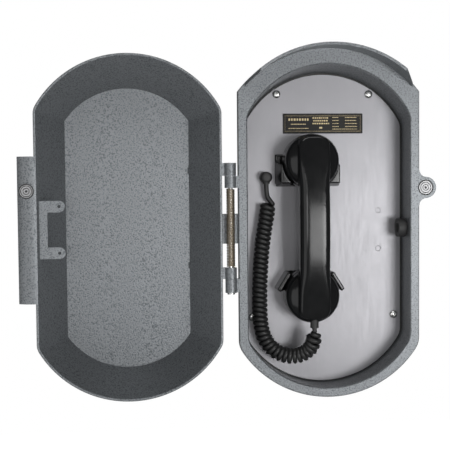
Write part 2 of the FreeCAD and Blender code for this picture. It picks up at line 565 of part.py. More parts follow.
def capsule(z, radius, depth):
    """A round transducer that fills its cap, with a raised rim."""
    seat = Y_CAP_INSIDE - MAGNET_THICK
    return fuse(rod_y(HANDSET_X, z, seat - depth, seat, radius),
                rod_y(HANDSET_X, z, seat - depth - 3, seat - depth, radius - 7))


def handset_magnet():
    """A flat ring between the receiver and its cap that works the reed switch."""
    y0, y1 = Y_CAP_INSIDE - MAGNET_THICK, Y_CAP_INSIDE
    return rod_y(HANDSET_X, EAR_Z, y0, y1, 21).cut(rod_y(HANDSET_X, EAR_Z, y0 - 1, y1 + 1, 16))


def handset_strain_relief(body):
    x, y, z = CORD_ROUTE[-1]
    pieces = rod_z(x, y, z, z + 10, 4.7).cut(body).Solids
    return max(pieces, key=lambda piece: piece.Volume)


# ---- curly cord ----------------------------------------------------------------------------
CORD_ROUTE = [(-67.0, -63.5, 47.0), (-67.0, -63.5, 38.0), (-64.8, -64.2, 28.5),
              (-66.4, -65.0, 13.5), (-69.5, -65.3, -4.0), (-72.5, -65.5, -24.0),
              (-74.4, -65.6, -47.0), (-75.5, -65.6, -71.0), (-75.7, -65.7, -91.0),
              (-75.2, -66.0, -109.5), (-71.5, -67.2, -128.0), (-61.0, -70.6, -142.0),
              (-45.5, -75.2, -148.3), (-30.5, -80.3, -146.0), (-20.8, -86.6, -137.4),
              (-17.8, -92.0, -125.5), (-17.8, -92.0, -113.5)]
COIL_FIRST_RUN, COIL_LAST_RUN = 2, 15


def route_pieces(points):
    """Straight runs joined by tangent arcs, each as large as its two runs allow."""
    points = [Vector(*point) for point in points]
    lines, arcs, radii, last = [], [], [], points[0]
    for before, corner, after in zip(points, points[1:], points[2:]):
        back, ahead = before - corner, after - corner
        run = 0.45 * min(back.Length, ahead.Length)
        turn = math.pi - back.getAngle(ahead)
        back, ahead = back.normalize(), ahead.normalize()
        radius = run / math.tan(turn / 2)
        start, end = corner + back * run, corner + ahead * run
        inward = (back + ahead).normalize()
        middle = corner + inward * (math.hypot(radius, run) - radius)
        lines.append((last, start))
        arcs.append(Part.Arc(start, middle, end))
        radii.append(radius)
        last = end
    lines.append((last, points[-1]))
    return lines, arcs, radii


def tube(lines, arcs, diameter):
    """A round tube along alternate lines and arcs."""
    edges = [Part.LineSegment(*lines[0]).toShape()]
    for arc, line in zip(arcs, lines[1:]):
        edges += [arc.toShape(), Part.LineSegment(*line).toShape()]
    path = Part.Wire(edges)
    start, towards = lines[0]
    ring = Part.Wire([Part.makeCircle(diameter / 2, start, towards - start)])
    solid = path.makePipeShell([ring], True, False)
    share = solid.Volume / (math.pi * diameter ** 2 / 4 * path.Length)
    print("tube %.1f long, volume over section times length %.4f" % (path.Length, share))
    return solid


def cord_parts():
    """The plain cord at the gland, the curly length as one fat tube, and the plain cord at the handset."""
    lines, arcs, radii = route_pieces(CORD_ROUTE)
    print("cord radii", " ".join("%.0f" % radius for radius in radii))
    first, last = COIL_FIRST_RUN, COIL_LAST_RUN
    coil_start = (lines[first][0] + lines[first][1]) * 0.5
    coil_end = (lines[last][0] + lines[last][1]) * 0.5
    tail_top = tube(lines[:first] + [(lines[first][0], coil_start)], arcs[:first], CORD_D)
    coil = tube([(coil_start, lines[first][1])] + lines[first + 1:last] + [(lines[last][0], coil_end)],
                arcs[first:last], COIL_D)
    tail_low = tube([(coil_end, lines[last][1])], [], CORD_D)
    return tail_top, coil, tail_low


# ---- assembly --------------------------------------------------------------------------------
def side_entry():
    """A rubber bush in the side wall's spare cable entry, and the plug that closes it."""
    collar_x0, collar_x1, collar_r, bore_r = 82.0, 90.3, 10.5, 5.5
    bush = fuse(rod_x(collar_x0, collar_x1, ENTRY_Y, ENTRY_Z, collar_r),
                rod_x(collar_x1, SHELL_X, ENTRY_Y, ENTRY_Z, ENTRY_R))
    bore = rod_x(collar_x0 - 1, SHELL_X + 1, ENTRY_Y, ENTRY_Z, bore_r)
    plug = fuse(rod_x(SHELL_X, SHELL_X + 4, ENTRY_Y, ENTRY_Z, collar_r + 0.5),
                rod_x(collar_x1 - 2.3, SHELL_X, ENTRY_Y, ENTRY_Z, bore_r))
    return bush.cut(bore), plug


def catch_magnet():
    magnet = rod_y(CATCH_X, CATCH_Z, Y_RIM - MAGNET_PROUD, Y_RIM + 5, MAGNET_R)
    groove = rod_y(CATCH_X, CATCH_Z, Y_RIM - 1, Y_RIM + 0.5, 6.6).cut(
        rod_y(CATCH_X, CATCH_Z, Y_RIM - 1, Y_RIM + 0.5, 5.9))
    face = Y_RIM - MAGNET_PROUD
    sink = rod_y(CATCH_X, CATCH_Z, face, face + SINK_DEPTH, SINK_R, SMALL_SCREW_R)
    return magnet.cut([groove, sink, rod_y(CATCH_X, CATCH_Z, Y_RIM, Y_RIM + 6, SMALL_SCREW_R)])


def sunk_screw(y_face, inward, length):
    """A countersunk screw at the catch, its head flush with y_face."""
    head_y = sorted((y_face, y_face + inward * SINK_DEPTH))
    ends = (SINK_R, SMALL_SCREW_R) if inward > 0 else (SMALL_SCREW_R, SINK_R)
    head = rod_y(CATCH_X, CATCH_Z, *head_y, *ends)
    socket_y = sorted((y_face - inward, y_face + inward * SINK_DEPTH / 2))
    shank_y = sorted((y_face + inward * SINK_DEPTH, y_face + inward * length))
    shank = rod_y(CATCH_X, CATCH_Z, *shank_y, SMALL_SCREW_R)
    return fuse(head, shank).cut(rod_y(CATCH_X, CATCH_Z, *socket_y, 1.0))


def strike_disc():
    face = Y_LID_RIM + STRIKE_PROUD
    disc = rod_y(CATCH_X, CATCH_Z, Y_LID_RIM - 1, face, STRIKE_R)
    sink = rod_y(CATCH_X, CATCH_Z, face - SINK_DEPTH, face, SMALL_SCREW_R, SINK_R)
    return disc.cut([sink, rod_y(CATCH_X, CATCH_Z, Y_LID_RIM - 2, face, SMALL_SCREW_R)])


def hinge_pin():
    return fuse(rod_z(HINGE_X, HINGE_Y, PIN_BOTTOM, PIN_TOP, PIN_R),
                rod_z(HINGE_X, HINGE_Y, PIN_BOTTOM - 1.8, PIN_BOTTOM, 4.2))


def hinge_spring():
    """The room that the torsion spring takes up round the pin."""
    z0, z1 = -44.4, 42.8
    return rod_z(HINGE_X, HINGE_Y, z0, z1, SPRING_R).cut(
        rod_z(HINGE_X, HINGE_Y, z0 - 1, z1 + 1, PIN_R + 0.6))


def assembly():
    lid, body, shell = lid_casting(), body_casting(), handset_body()
    tail_top, coil, tail_low = cord_parts()
    bush, plug = side_entry()
    return {
        "body_casting": body,
        "lid_casting": swing(lid),
        "conduit_hub": conduit_hub(),
        "conduit_nut": conduit_nut(),
        "hinge_pin": hinge_pin(),
        "hinge_spring": hinge_spring(),
        "latch_bracket": swing(latch_bracket(lid)),
        "strike_disc": swing(strike_disc()),
        "strike_screw": swing(sunk_screw(Y_LID_RIM + STRIKE_PROUD, -1, 6)),
        "catch_magnet": catch_magnet(),
        "catch_magnet_screw": sunk_screw(Y_RIM - MAGNET_PROUD, 1, 8),
        "faceplate": faceplate(),
        "faceplate_gasket": faceplate_gasket(),
        "faceplate_screws": screw_group(FACEPLATE_SCREWS, Y_PANEL, *PAN_HEAD, SCREW_R, 14),
        "nameplate": nameplate(),
        "weld_studs": weld_studs(),
        "stud_nuts": stud_nuts(),
        "board_spacers": board_spacers(),
        "circuit_board": circuit_board(),
        "board_parts": board_parts(),
        "terminal_block": terminal_block(),
        "terminal_screws": terminal_screws(),
        "ringer": ringer(),
        "reed_switch": reed_switch(),
        "handset_cradle": handset_cradle(),
        "cradle_screws": screw_group(CRADLE_SCREWS, Y_FOOT_SEAT, *SMALL_PAN_HEAD, SMALL_SCREW_R, 8),
        "handset_clip": handset_clip(),
        "clip_screws": screw_group(CLIP_SCREWS, Y_FOOT_SEAT, *SMALL_PAN_HEAD, SMALL_SCREW_R, 8),
        "cord_gland": cord_gland(),
        "gland_nut": gland_nut(),
        "entry_bush": bush,
        "entry_plug": plug,
        "handset_body": shell,
        "ear_cap": cap(EAR_Z, [(0, 1), (5, 6), (10, 12)]),
        "mouth_cap": cap(MOUTH_Z, [(0, 1), (4.5, 6), (9, 12), (13.5, 18)]),
        "receiver_capsule": capsule(EAR_Z, 24, 14),
        "transmitter_capsule": capsule(MOUTH_Z, 23, 11),
        "handset_magnet": handset_magnet(),
        "handset_strain_relief": handset_strain_relief(shell),
        "cord_tail_top": tail_top,
        "cord_coil": coil,
        "cord_tail_low": tail_low,
    }


os.makedirs("parts", exist_ok=True)
for name, piece in assembly().items():
    solids = piece.Solids
    print("%-22s solids %d valid %s volume %.1f" % (name, len(solids), piece.isValid(), piece.Volume))
    piece.exportStep("parts/%s.step" % name)
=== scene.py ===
"""The looks of a weatherproof wall telephone: a cast case with its lid open, a handset and a curly cord."""
import json
import math
import random

import bmesh
import bpy
from mathutils import Matrix, Vector


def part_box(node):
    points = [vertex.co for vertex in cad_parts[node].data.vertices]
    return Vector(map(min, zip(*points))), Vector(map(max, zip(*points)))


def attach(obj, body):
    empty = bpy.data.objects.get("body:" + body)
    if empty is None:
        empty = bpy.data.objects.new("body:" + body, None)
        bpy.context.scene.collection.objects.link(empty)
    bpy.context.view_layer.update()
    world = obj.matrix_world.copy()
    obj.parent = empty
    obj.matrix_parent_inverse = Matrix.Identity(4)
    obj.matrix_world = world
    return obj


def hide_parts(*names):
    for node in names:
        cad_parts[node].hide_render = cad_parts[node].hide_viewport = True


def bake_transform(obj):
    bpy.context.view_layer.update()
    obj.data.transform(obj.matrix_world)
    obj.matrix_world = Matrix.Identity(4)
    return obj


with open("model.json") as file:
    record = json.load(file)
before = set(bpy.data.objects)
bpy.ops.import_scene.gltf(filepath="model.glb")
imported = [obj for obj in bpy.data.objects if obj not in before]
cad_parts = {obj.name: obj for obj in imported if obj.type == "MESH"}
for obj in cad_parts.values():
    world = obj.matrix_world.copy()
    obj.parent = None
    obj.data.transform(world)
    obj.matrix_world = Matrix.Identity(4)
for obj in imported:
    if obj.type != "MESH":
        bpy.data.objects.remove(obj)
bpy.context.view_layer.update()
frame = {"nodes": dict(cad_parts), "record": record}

LID_OPEN = 178.2            # degrees from shut to the rest position
SHARP_ANGLE = 30.0          # degrees between faces that leave an edge sharp
ON_AXIS = 1e-7              # a profile point this close to its axis is one vertex
SEAM = 1e-6                 # vertices of a CAD mesh this close are the same point
X_AXIS, Y_AXIS, Z_AXIS = Vector((1, 0, 0)), Vector((0, 1, 0)), Vector((0, 0, 1))


# ---- camera --------------------------------------------------------------------------------
CAMERA_PLACE = (-0.2175, -1.1299, 0.0503)
CAMERA_YAW, CAMERA_PITCH, CAMERA_ROLL = 5.53, -2.63, -0.51    # degrees
CAMERA_LENS, CAMERA_SENSOR = 76.0, 36.0                       # millimetres


def make_camera():
    """A camera a little left of the body and above its middle."""
    yaw, pitch, roll = (math.radians(a) for a in (CAMERA_YAW, CAMERA_PITCH, CAMERA_ROLL))
    ahead = Vector((math.sin(yaw) * math.cos(pitch), math.cos(yaw) * math.cos(pitch), math.sin(pitch)))
    level = Vector((math.cos(yaw), -math.sin(yaw), 0))
    upright = level.cross(ahead)
    right = math.cos(roll) * level + math.sin(roll) * upright
    up = math.cos(roll) * upright - math.sin(roll) * level
    data = bpy.data.cameras.new("camera")
    data.lens = CAMERA_LENS
    data.sensor_width = CAMERA_SENSOR
    data.clip_start, data.clip_end = 0.02, 50.0
    camera = bpy.data.objects.new("camera", data)
    turn = Matrix((right, up, -ahead)).transposed().to_4x4()
    camera.matrix_world = Matrix.Translation(CAMERA_PLACE) @ turn
    bpy.context.scene.collection.objects.link(camera)
    bpy.context.scene.camera = camera


# ---- mesh helpers ----------------------------------------------------------------------------
def new_piece(name, bm, sharp_angle=SHARP_ANGLE):
    """A new object from a bmesh, shaded smooth except over sharp edges."""
    bmesh.ops.recalc_face_normals(bm, faces=bm.faces)
    mesh = bpy.data.meshes.new(name)
    bm.to_mesh(mesh)
    bm.free()
    for face in mesh.polygons:
        face.use_smooth = True
    mesh.set_sharp_from_angle(angle=math.radians(sharp_angle))
    piece = bpy.data.objects.new(name, mesh)
    bpy.context.scene.collection.objects.link(piece)
    return piece


def fit(piece, material, body, replaced=()):
    """Dress a new piece, let it ride on a body and hide the CAD nodes it stands for."""
    piece.data.materials.append(material)
    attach(piece, body)
    if replaced:
        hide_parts(*replaced)


def corner_box(node):
    """A node's lowest and highest corners at rest, as vectors."""
    return tuple(Vector(corner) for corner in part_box(node))


def square_to(direction):
    """Two unit vectors square to a direction and to each other."""
    direction = direction.normalized()
    helper = Z_AXIS if abs(direction.z) < 0.9 else X_AXIS
    first = helper.cross(direction).normalized()
    return first, direction.cross(first)


def lathe(bm, centre, axis, profile, steps):
    """Turn a profile of (radius, height along the axis) points round an axis through centre."""
    axis = Vector(axis).normalized()
    side, other = square_to(axis)
    centre = Vector(centre)
    rings = []
    for radius, height in profile:
        base = centre + axis * height
        if radius < ON_AXIS:
            rings.append([bm.verts.new(base)])
            continue
        turns = (2 * math.pi * k / steps for k in range(steps))
        rings.append([bm.verts.new(base + radius * (math.cos(t) * side + math.sin(t) * other))
                      for t in turns])
    for low, high in zip(rings, rings[1:]):
        for k in range(steps):
            after = (k + 1) % steps
            corners = (low[k % len(low)], low[after % len(low)],
                       high[after % len(high)], high[k % len(high)])
            corners = list(dict.fromkeys(corners))
            if len(corners) > 2:
                bm.faces.new(corners)


def tube(bm, line, radius, sides=12):
    """A round tube through close points, closed at both ends."""
    ahead = [(b - a).normalized() for a, b in zip(line, line[1:])]
    ahead.append(ahead[-1])
    side = square_to(ahead[0])[0]
    rings = []
    for point, along in zip(line, ahead):
        side = (side - along * side.dot(along)).normalized()
        other = along.cross(side)
        turns = (2 * math.pi * k / sides for k in range(sides))
        rings.append([bm.verts.new(point + radius * (math.cos(t) * side + math.sin(t) * other))
                      for t in turns])
    for low, high in zip(rings, rings[1:]):
        for k in range(sides):
            after = (k + 1) % sides
            bm.faces.new((low[k], low[after], high[after], high[k]))
    bm.faces.new(rings[0][::-1])
    bm.faces.new(rings[-1])


# ---- curly cord --------------------------------------------------------------------------------
CORD_D, COIL_D = 0.0053, 0.018
COIL_PITCH = 0.0055
CORD_ROUTE = [
    (-0.0670, -0.0635, 0.0470), (-0.0670, -0.0635, 0.0380), (-0.0648, -0.0642, 0.0285),
    (-0.0664, -0.0650, 0.0135), (-0.0695, -0.0653, -0.0040), (-0.0725, -0.0655, -0.0240),
    (-0.0744, -0.0656, -0.0470), (-0.0755, -0.0656, -0.0710), (-0.0757, -0.0657, -0.0910),
    (-0.0752, -0.0660, -0.1095), (-0.0715, -0.0672, -0.1280), (-0.0610, -0.0706, -0.1420),
    (-0.0455, -0.0752, -0.1483), (-0.0305, -0.0803, -0.1460), (-0.0208, -0.0866, -0.1374),
    (-0.0178, -0.0920, -0.1255), (-0.0178, -0.0920, -0.1135),
]
RINGS_PER_TURN = 22
TOP_TAIL, TOP_RAMP = 0.0140, 0.0120        # plain cord below the gland, then its swing out to the coil
LOW_TAIL, LOW_RAMP = 0.0035, 0.0075        # the same at the handset
WIND_FROM = 0.75                           # share of the top swing after which the turns begin


def route_line():
    """The smooth line through the cord's route, read from a NURBS curve."""
    curve = bpy.data.curves.new("cord_route", "CURVE")
    curve.dimensions = "3D"
    curve.resolution_u = 24
    spline = curve.splines.new("NURBS")
    spline.points.add(len(CORD_ROUTE) - 1)
    for point, place in zip(spline.points, CORD_ROUTE):
        point.co = (*place, 1.0)
    spline.order_u = 3
    spline.use_endpoint_u = True
    holder = bpy.data.objects.new("cord_route", curve)
    mesh = bpy.data.meshes.new_from_object(holder)
    line = [vert.co.copy() for vert in mesh.vertices]
    bpy.data.objects.remove(holder)
    bpy.data.meshes.remove(mesh)
    bpy.data.curves.remove(curve)
    return line


def even_points(line, step):
    """Points at even steps along a line, its own last point included."""
    gaps = [(b - a).length for a, b in zip(line, line[1:])]
    total = sum(gaps)
    count = round(total / step)
    points, index, passed = [], 0, 0.0
    for k in range(count + 1):
        goal = total * k / count
        while index < len(gaps) - 1 and passed + gaps[index] < goal:
            passed += gaps[index]
            index += 1
        share = min(1.0, (goal - passed) / gaps[index])
        points.append(line[index].lerp(line[index + 1], share))
    return points


def smooth_step(value):
    """Ease from 0 to 1 as the value goes from 0 to 1."""
    value = min(1.0, max(0.0, value))
    return value * value * (3 - 2 * value)


def cord_line():
    """Follow the route, wound into a coil between the two plain tails."""
    step = COIL_PITCH / RINGS_PER_TURN
    points = even_points(route_line(), step)
    total = step * (len(points) - 1)
    swing = (COIL_D - CORD_D) / 2
    side, turned, line = X_AXIS, 0.0, []
    for index, point in enumerate(points):
        before, after = points[max(0, index - 1)], points[min(len(points) - 1, index + 1)]
        along = (after - before).normalized()
        side = (side - along * side.dot(along)).normalized()
        back = side.cross(along)
        here = index * step
        out = smooth_step((here - TOP_TAIL) / TOP_RAMP) * smooth_step((total - LOW_TAIL - here) / LOW_RAMP)
        if here > TOP_TAIL + WIND_FROM * TOP_RAMP and total - here > LOW_TAIL:
            turned += 2 * math.pi / RINGS_PER_TURN
        line.append(point + swing * out * (math.cos(turned) * side + math.sin(turned) * back))
    return line


def make_cord(material):
    """The curly cord, one tube from the gland to the handset's strain relief."""
    line = cord_line()
    bm = bmesh.new()
    tube(bm, line, CORD_D / 2)
    cord = new_piece("curly_cord", bm, 60)
    cord.data.materials.append(material)
    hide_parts("cord_tail_top", "cord_coil", "cord_tail_low")
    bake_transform(cord)


# ---- materials ---------------------------------------------------------------------------------
def add(tree, kind, inputs=None, **settings):
    """A shader node; inputs are values or the sockets that feed them."""
    made = tree.nodes.new("ShaderNode" + kind)
    for key, value in settings.items():
        setattr(made, key, value)
    for key, value in (inputs or {}).items():
        if isinstance(value, bpy.types.NodeSocket):
            tree.links.new(value, made.inputs[key])
        else:
            made.inputs[key].default_value = value
    return made


def ramp(tree, factor, stops):
    """A colour ramp; stops are (position, colour)."""
    made = add(tree, "ValToRGB", {"Fac": factor})
    elements = made.color_ramp.elements
    while len(elements) < len(stops):
        elements.new(0.5)
    for element, (position, colour) in zip(elements, stops):
        element.position = position
        element.color = (*colour, 1.0)
    return made.outputs["Color"]


def new_material(name, **values):
    """A material with its tree, its shader and the object coordinates."""
    made = bpy.data.materials.new(name)
    made.use_nodes = True
    tree = made.node_tree
    shader = tree.nodes["Principled BSDF"]
    for key, value in values.items():
        socket = shader.inputs[key.replace("_", " ")]
        socket.default_value = (*value, 1.0) if isinstance(value, tuple) else value
    return made, tree, shader, add(tree, "TexCoord").outputs["Object"]


def bump(tree, shader, height, strength, distance):
    """Feed the shader's normal from a height."""
    made = add(tree, "Bump", {"Height": height, "Strength": strength, "Distance": distance})
    tree.links.new(made.outputs["Normal"], shader.inputs["Normal"])


def spread(tree, value, low, high, start=0.0, end=1.0):
    """Map a noise value from start..end to low..high."""
    made = add(tree, "MapRange", {"Value": value, "From Min": start, "From Max": end,
                                  "To Min": low, "To Max": high})
    return made.outputs["Result"]


def hammertone(name, dark, light):
    """Grey hammered enamel: a light skin broken by small dark dimples of uneven size."""
    made, tree, shader, place = new_material(name, Metallic=0.62)
    dots = add(tree, "TexNoise", {"Vector": place, "Scale": 620.0, "Detail": 1.5, "Roughness": 0.45,
                                  "Distortion": 0.35})
    fine = add(tree, "TexNoise", {"Vector": place, "Scale": 1300.0, "Detail": 3.0, "Roughness": 0.6})
    broad = add(tree, "TexNoise", {"Vector": place, "Scale": 22.0, "Detail": 3.0})
    mixed = add(tree, "Math", {0: dots.outputs["Fac"], 1: spread(tree, fine.outputs["Fac"], -0.05, 0.05)},
                operation="ADD")
    middle = tuple(0.25 * a + 0.75 * b for a, b in zip(dark, light))
    tone = ramp(tree, mixed.outputs["Value"], [(0.36, dark), (0.47, middle), (0.66, light)])
    cloud = add(tree, "Mix", {"Factor": spread(tree, broad.outputs["Fac"], 0.0, 0.3, 0.35, 0.7),
                              "A": tone, "B": (*middle, 1.0)}, data_type="RGBA")
    tree.links.new(cloud.outputs["Result"], shader.inputs["Base Color"])
    tree.links.new(spread(tree, fine.outputs["Fac"], 0.32, 0.50), shader.inputs["Roughness"])
    bump(tree, shader, mixed.outputs["Value"], 0.45, 0.0004)
    return made


def satin_steel(name):
    """Cold rolled stainless sheet with a faint cloudy finish and fine rolling lines."""
    made, tree, shader, place = new_material(name, Metallic=0.7)
    stretched = add(tree, "Mapping", {"Vector": place, "Scale": (1.0, 1.0, 0.05)})
    lines = add(tree, "TexNoise", {"Vector": stretched.outputs["Vector"], "Scale": 900.0, "Detail": 4.0})
    clouds = add(tree, "TexNoise", {"Vector": place, "Scale": 14.0, "Detail": 4.0, "Roughness": 0.55})
    specks = add(tree, "TexNoise", {"Vector": place, "Scale": 240.0, "Detail": 3.0})
    tone = ramp(tree, clouds.outputs["Fac"], [(0.30, (0.245, 0.243, 0.255)), (0.72, (0.275, 0.272, 0.286))])
    tree.links.new(tone, shader.inputs["Base Color"])
    rough = add(tree, "Math", {0: spread(tree, lines.outputs["Fac"], 0.33, 0.47),
                               1: spread(tree, specks.outputs["Fac"], -0.04, 0.06)}, operation="ADD")
    tree.links.new(rough.outputs["Value"], shader.inputs["Roughness"])
    bump(tree, shader, lines.outputs["Fac"], 0.08, 0.00005)
    return made


def bright_metal(name, colour, low_rough, high_rough):
    """Machined or plated metal with faint wear."""
    made, tree, shader, place = new_material(name, Metallic=1.0)
    wear = add(tree, "TexNoise", {"Vector": place, "Scale": 350.0, "Detail": 5.0})
    tone = ramp(tree, wear.outputs["Fac"], [(0.3, tuple(0.86 * c for c in colour)), (0.7, colour)])
    tree.links.new(tone, shader.inputs["Base Color"])
    tree.links.new(spread(tree, wear.outputs["Fac"], low_rough, high_rough), shader.inputs["Roughness"])
    bump(tree, shader, wear.outputs["Fac"], 0.06, 0.00004)
    return made


def moulded(name, colour, low_rough, high_rough, grain=0.05, grain_size=1200.0, ior=1.49):
    """Moulded plastic or rubber: a faint skin texture and finger marks in its gloss."""
    made, tree, shader, place = new_material(name, IOR=ior)
    skin = add(tree, "TexNoise", {"Vector": place, "Scale": grain_size, "Detail": 2.0})
    smears = add(tree, "TexNoise", {"Vector": place, "Scale": 60.0, "Detail": 5.0, "Roughness": 0.6})
    tone = ramp(tree, smears.outputs["Fac"], [(0.3, tuple(0.8 * c for c in colour)), (0.75, colour)])
    tree.links.new(tone, shader.inputs["Base Color"])
    tree.links.new(spread(tree, smears.outputs["Fac"], low_rough, high_rough, 0.3, 0.7),
                   shader.inputs["Roughness"])
    bump(tree, shader, skin.outputs["Fac"], grain, 0.0001)
    return made


def make_materials():
    """One material for each of the record's slots."""
    return {
        "grey_hammertone": hammertone("hammered_enamel", (0.092, 0.101, 0.108), (0.205, 0.216, 0.226)),
        "stainless_sheet": satin_steel("satin_stainless"),
        "stainless_fastener": bright_metal("bright_stainless", (0.66, 0.66, 0.65), 0.16, 0.30),
        "bright_nickel": bright_metal("nickel_plate", (0.32, 0.32, 0.325), 0.36, 0.50),
        "spring_wire": bright_metal("bronzed_wire", (0.44, 0.375, 0.29), 0.40, 0.55),
        "nameplate_black": moulded("nameplate_enamel", (0.011, 0.0105, 0.009), 0.34, 0.46, ior=1.28),
        "gloss_black": moulded("gloss_black_plastic", (0.0058, 0.0060, 0.0064), 0.14, 0.21,
                               grain=0.03, grain_size=900.0, ior=1.43),
        "black_rubber": moulded("black_rubber", (0.022, 0.022, 0.022), 0.48, 0.62,
                                grain=0.20, grain_size=1500.0),
        "black_cord": moulded("cord_jacket", (0.0140, 0.0142, 0.0142), 0.34, 0.46,
                              grain=0.10, grain_size=1400.0),
        "black_plastic": moulded("black_plastic", (0.016, 0.016, 0.016), 0.38, 0.50, grain=0.10),
        "board_green": moulded("board_green", (0.010, 0.075, 0.030), 0.28, 0.40),
        "component_grey": moulded("component_grey", (0.09, 0.09, 0.095), 0.40, 0.55),
        "terminal_brass": bright_metal("terminal_brass", (0.60, 0.44, 0.19), 0.25, 0.40),
    }


def dress_nodes(materials):
    """Give each CAD node the material of its slot."""
    slots = {part["node"]: part["material_slot"] for part in frame["record"]["subparts"]}
    for name, node in frame["nodes"].items():
        node.data.materials.clear()
        node.data.materials.append(materials[slots[name]])


# ---- light and floor -----------------------------------------------------------------------------
LIGHTS = {    # name: (place, target, size, watts)
    "softbox": ((0.74, -2.00, -0.16), (0.02, -0.05, 0.0), (0.80, 0.62), 17),
    "fill": ((-0.40, -2.3, 0.05), (-0.2, -0.05, 0.0), (0.6, 0.6), 4.5),
    "left": ((-1.45, -1.60, -0.35), (-0.15, -0.05, 0.0), (1.7, 1.7), 9),
    "overhead": ((-0.05, -1.25, 1.50), (-0.05, -0.05, 0.0), (1.2, 0.5), 9),
    "rear": ((0.55, 1.60, 1.55), (-0.05, -0.05, 0.0), (1.4, 1.0), 20),
}
SKY_STRENGTH = 0.12
FLOOR_Z, FLOOR_HALF = -1.3, 4.0


def area_light(name, place, target, size, power):
    """A rectangular light that faces its target."""
    data = bpy.data.lights.new(name, "AREA")
    data.shape = "RECTANGLE"
    data.size, data.size_y = size
    data.energy = power
    light = bpy.data.objects.new(name, data)
    light.location = place
    light.rotation_mode = "QUATERNION"
    light.rotation_quaternion = (Vector(target) - Vector(place)).to_track_quat("-Z", "Y")
    bpy.context.scene.collection.objects.link(light)


def make_world():
    """A white background that lights the object only a little."""
    world = bpy.data.worlds.new("studio")
    bpy.context.scene.world = world
    world.use_nodes = True
    tree = world.node_tree
    seen = tree.nodes["Background"]
    seen.inputs["Color"].default_value = (1, 1, 1, 1)
    seen.inputs["Strength"].default_value = 1.0
    lit = add(tree, "Background", {"Color": (0.98, 0.99, 1.0, 1), "Strength": SKY_STRENGTH})
    path = add(tree, "LightPath")
    both = add(tree, "MixShader", {0: path.outputs["Is Camera Ray"], 1: lit.outputs["Background"],
                                   2: seen.outputs["Background"]})
    tree.links.new(both.outputs["Shader"], tree.nodes["World Output"].inputs["Surface"])


def make_floor():
    """A plain pale floor well below the object."""
    bm = bmesh.new()
    bmesh.ops.create_grid(bm, x_segments=1, y_segments=1, size=FLOOR_HALF)
    floor = new_piece("floor", bm)
    floor.location.z = FLOOR_Z
    made, _, shader, _ = new_material("pale_floor", Base_Color=(0.9, 0.9, 0.9), Roughness=0.9)
    shader.inputs["Emission Color"].default_value = (1, 1, 1, 1)
    shader.inputs["Emission Strength"].default_value = 1.0
    floor.data.materials.append(made)
    floor.visible_glossy = False


def make_studio():
    """World, lights and floor, shown without a film curve."""
    make_world()
    for name, (place, target, size, watts) in LIGHTS.items():
        area_light(name, place, target, size, watts)
    make_floor()
    bpy.context.scene.view_settings.view_transform = "Standard"


# ---- pieces --------------------------------------------------------------------------------------
def make_spring(material):
    """The torsion spring on the hinge pin: close turns of wire."""
    low, high = corner_box("hinge_spring")
    centre = (low + high) / 2
    wire, pitch, rings_per_turn = 0.00155, 0.00172, 18
    out = (high.x - low.x) / 2 - wire / 2
    height = high.z - low.z - wire
    count = round(height / pitch * rings_per_turn)
    line = []
    for k in range(count + 1):
        turn = 2 * math.pi * k / rings_per_turn
        line.append(Vector((centre.x + out * math.cos(turn), centre.y + out * math.sin(turn),
                            low.z + wire / 2 + height * k / count)))
    bm = bmesh.new()
    tube(bm, line, wire / 2, 8)
    spring = new_piece("torsion_spring", bm, 60)
    fit(spring, material, "base", ["hinge_spring"])


def closed_copy(node):
    """A CAD node's mesh with its seams closed, as a bmesh."""
    bm = bmesh.new()
    bm.from_mesh(frame["nodes"][node].data)
    bmesh.ops.remove_doubles(bm, verts=bm.verts, dist=SEAM)
    return bm


def soften(piece, voxel, rounds):
    """Rebuild a closed piece as one skin with soft moulded edges."""
    rebuild = piece.modifiers.new("rebuild", "REMESH")
    rebuild.mode = "VOXEL"
    rebuild.voxel_size = voxel
    rebuild.use_smooth_shade = True
    relax = piece.modifiers.new("relax", "SMOOTH")
    relax.factor = 0.5
    relax.iterations = rounds
    graph = bpy.context.evaluated_depsgraph_get()
    mesh = bpy.data.meshes.new_from_object(piece.evaluated_get(graph))
    piece.modifiers.clear()
    piece.data = mesh
    for face in mesh.polygons:
        face.use_smooth = True


def soft_copy(node, name, body, material):
    """A moulded piece in the place of a CAD node, with its edges rounded."""
    piece = new_piece(name, closed_copy(node), 180)
    soften(piece, voxel=0.0009, rounds=5)
    fit(piece, material, body, [node])


CORNER_STEPS = 6


def rounded_section(bm, z, half_w, front, back, front_r, back_r):
    """A ring at height z: a rectangle with its own corner radius in front and behind."""
    corners = [(half_w - front_r, front + front_r, front_r, -90),
               (half_w - back_r, back - back_r, back_r, 0),
               (back_r - half_w, back - back_r, back_r, 90),
               (front_r - half_w, front + front_r, front_r, 180)]
    ring = []
    for x, y, radius, start in corners:
        for k in range(CORNER_STEPS + 1):
            turn = math.radians(start + 90 * k / CORNER_STEPS)
            ring.append(bm.verts.new((x + radius * math.cos(turn), y + radius * math.sin(turn), z)))
    return ring


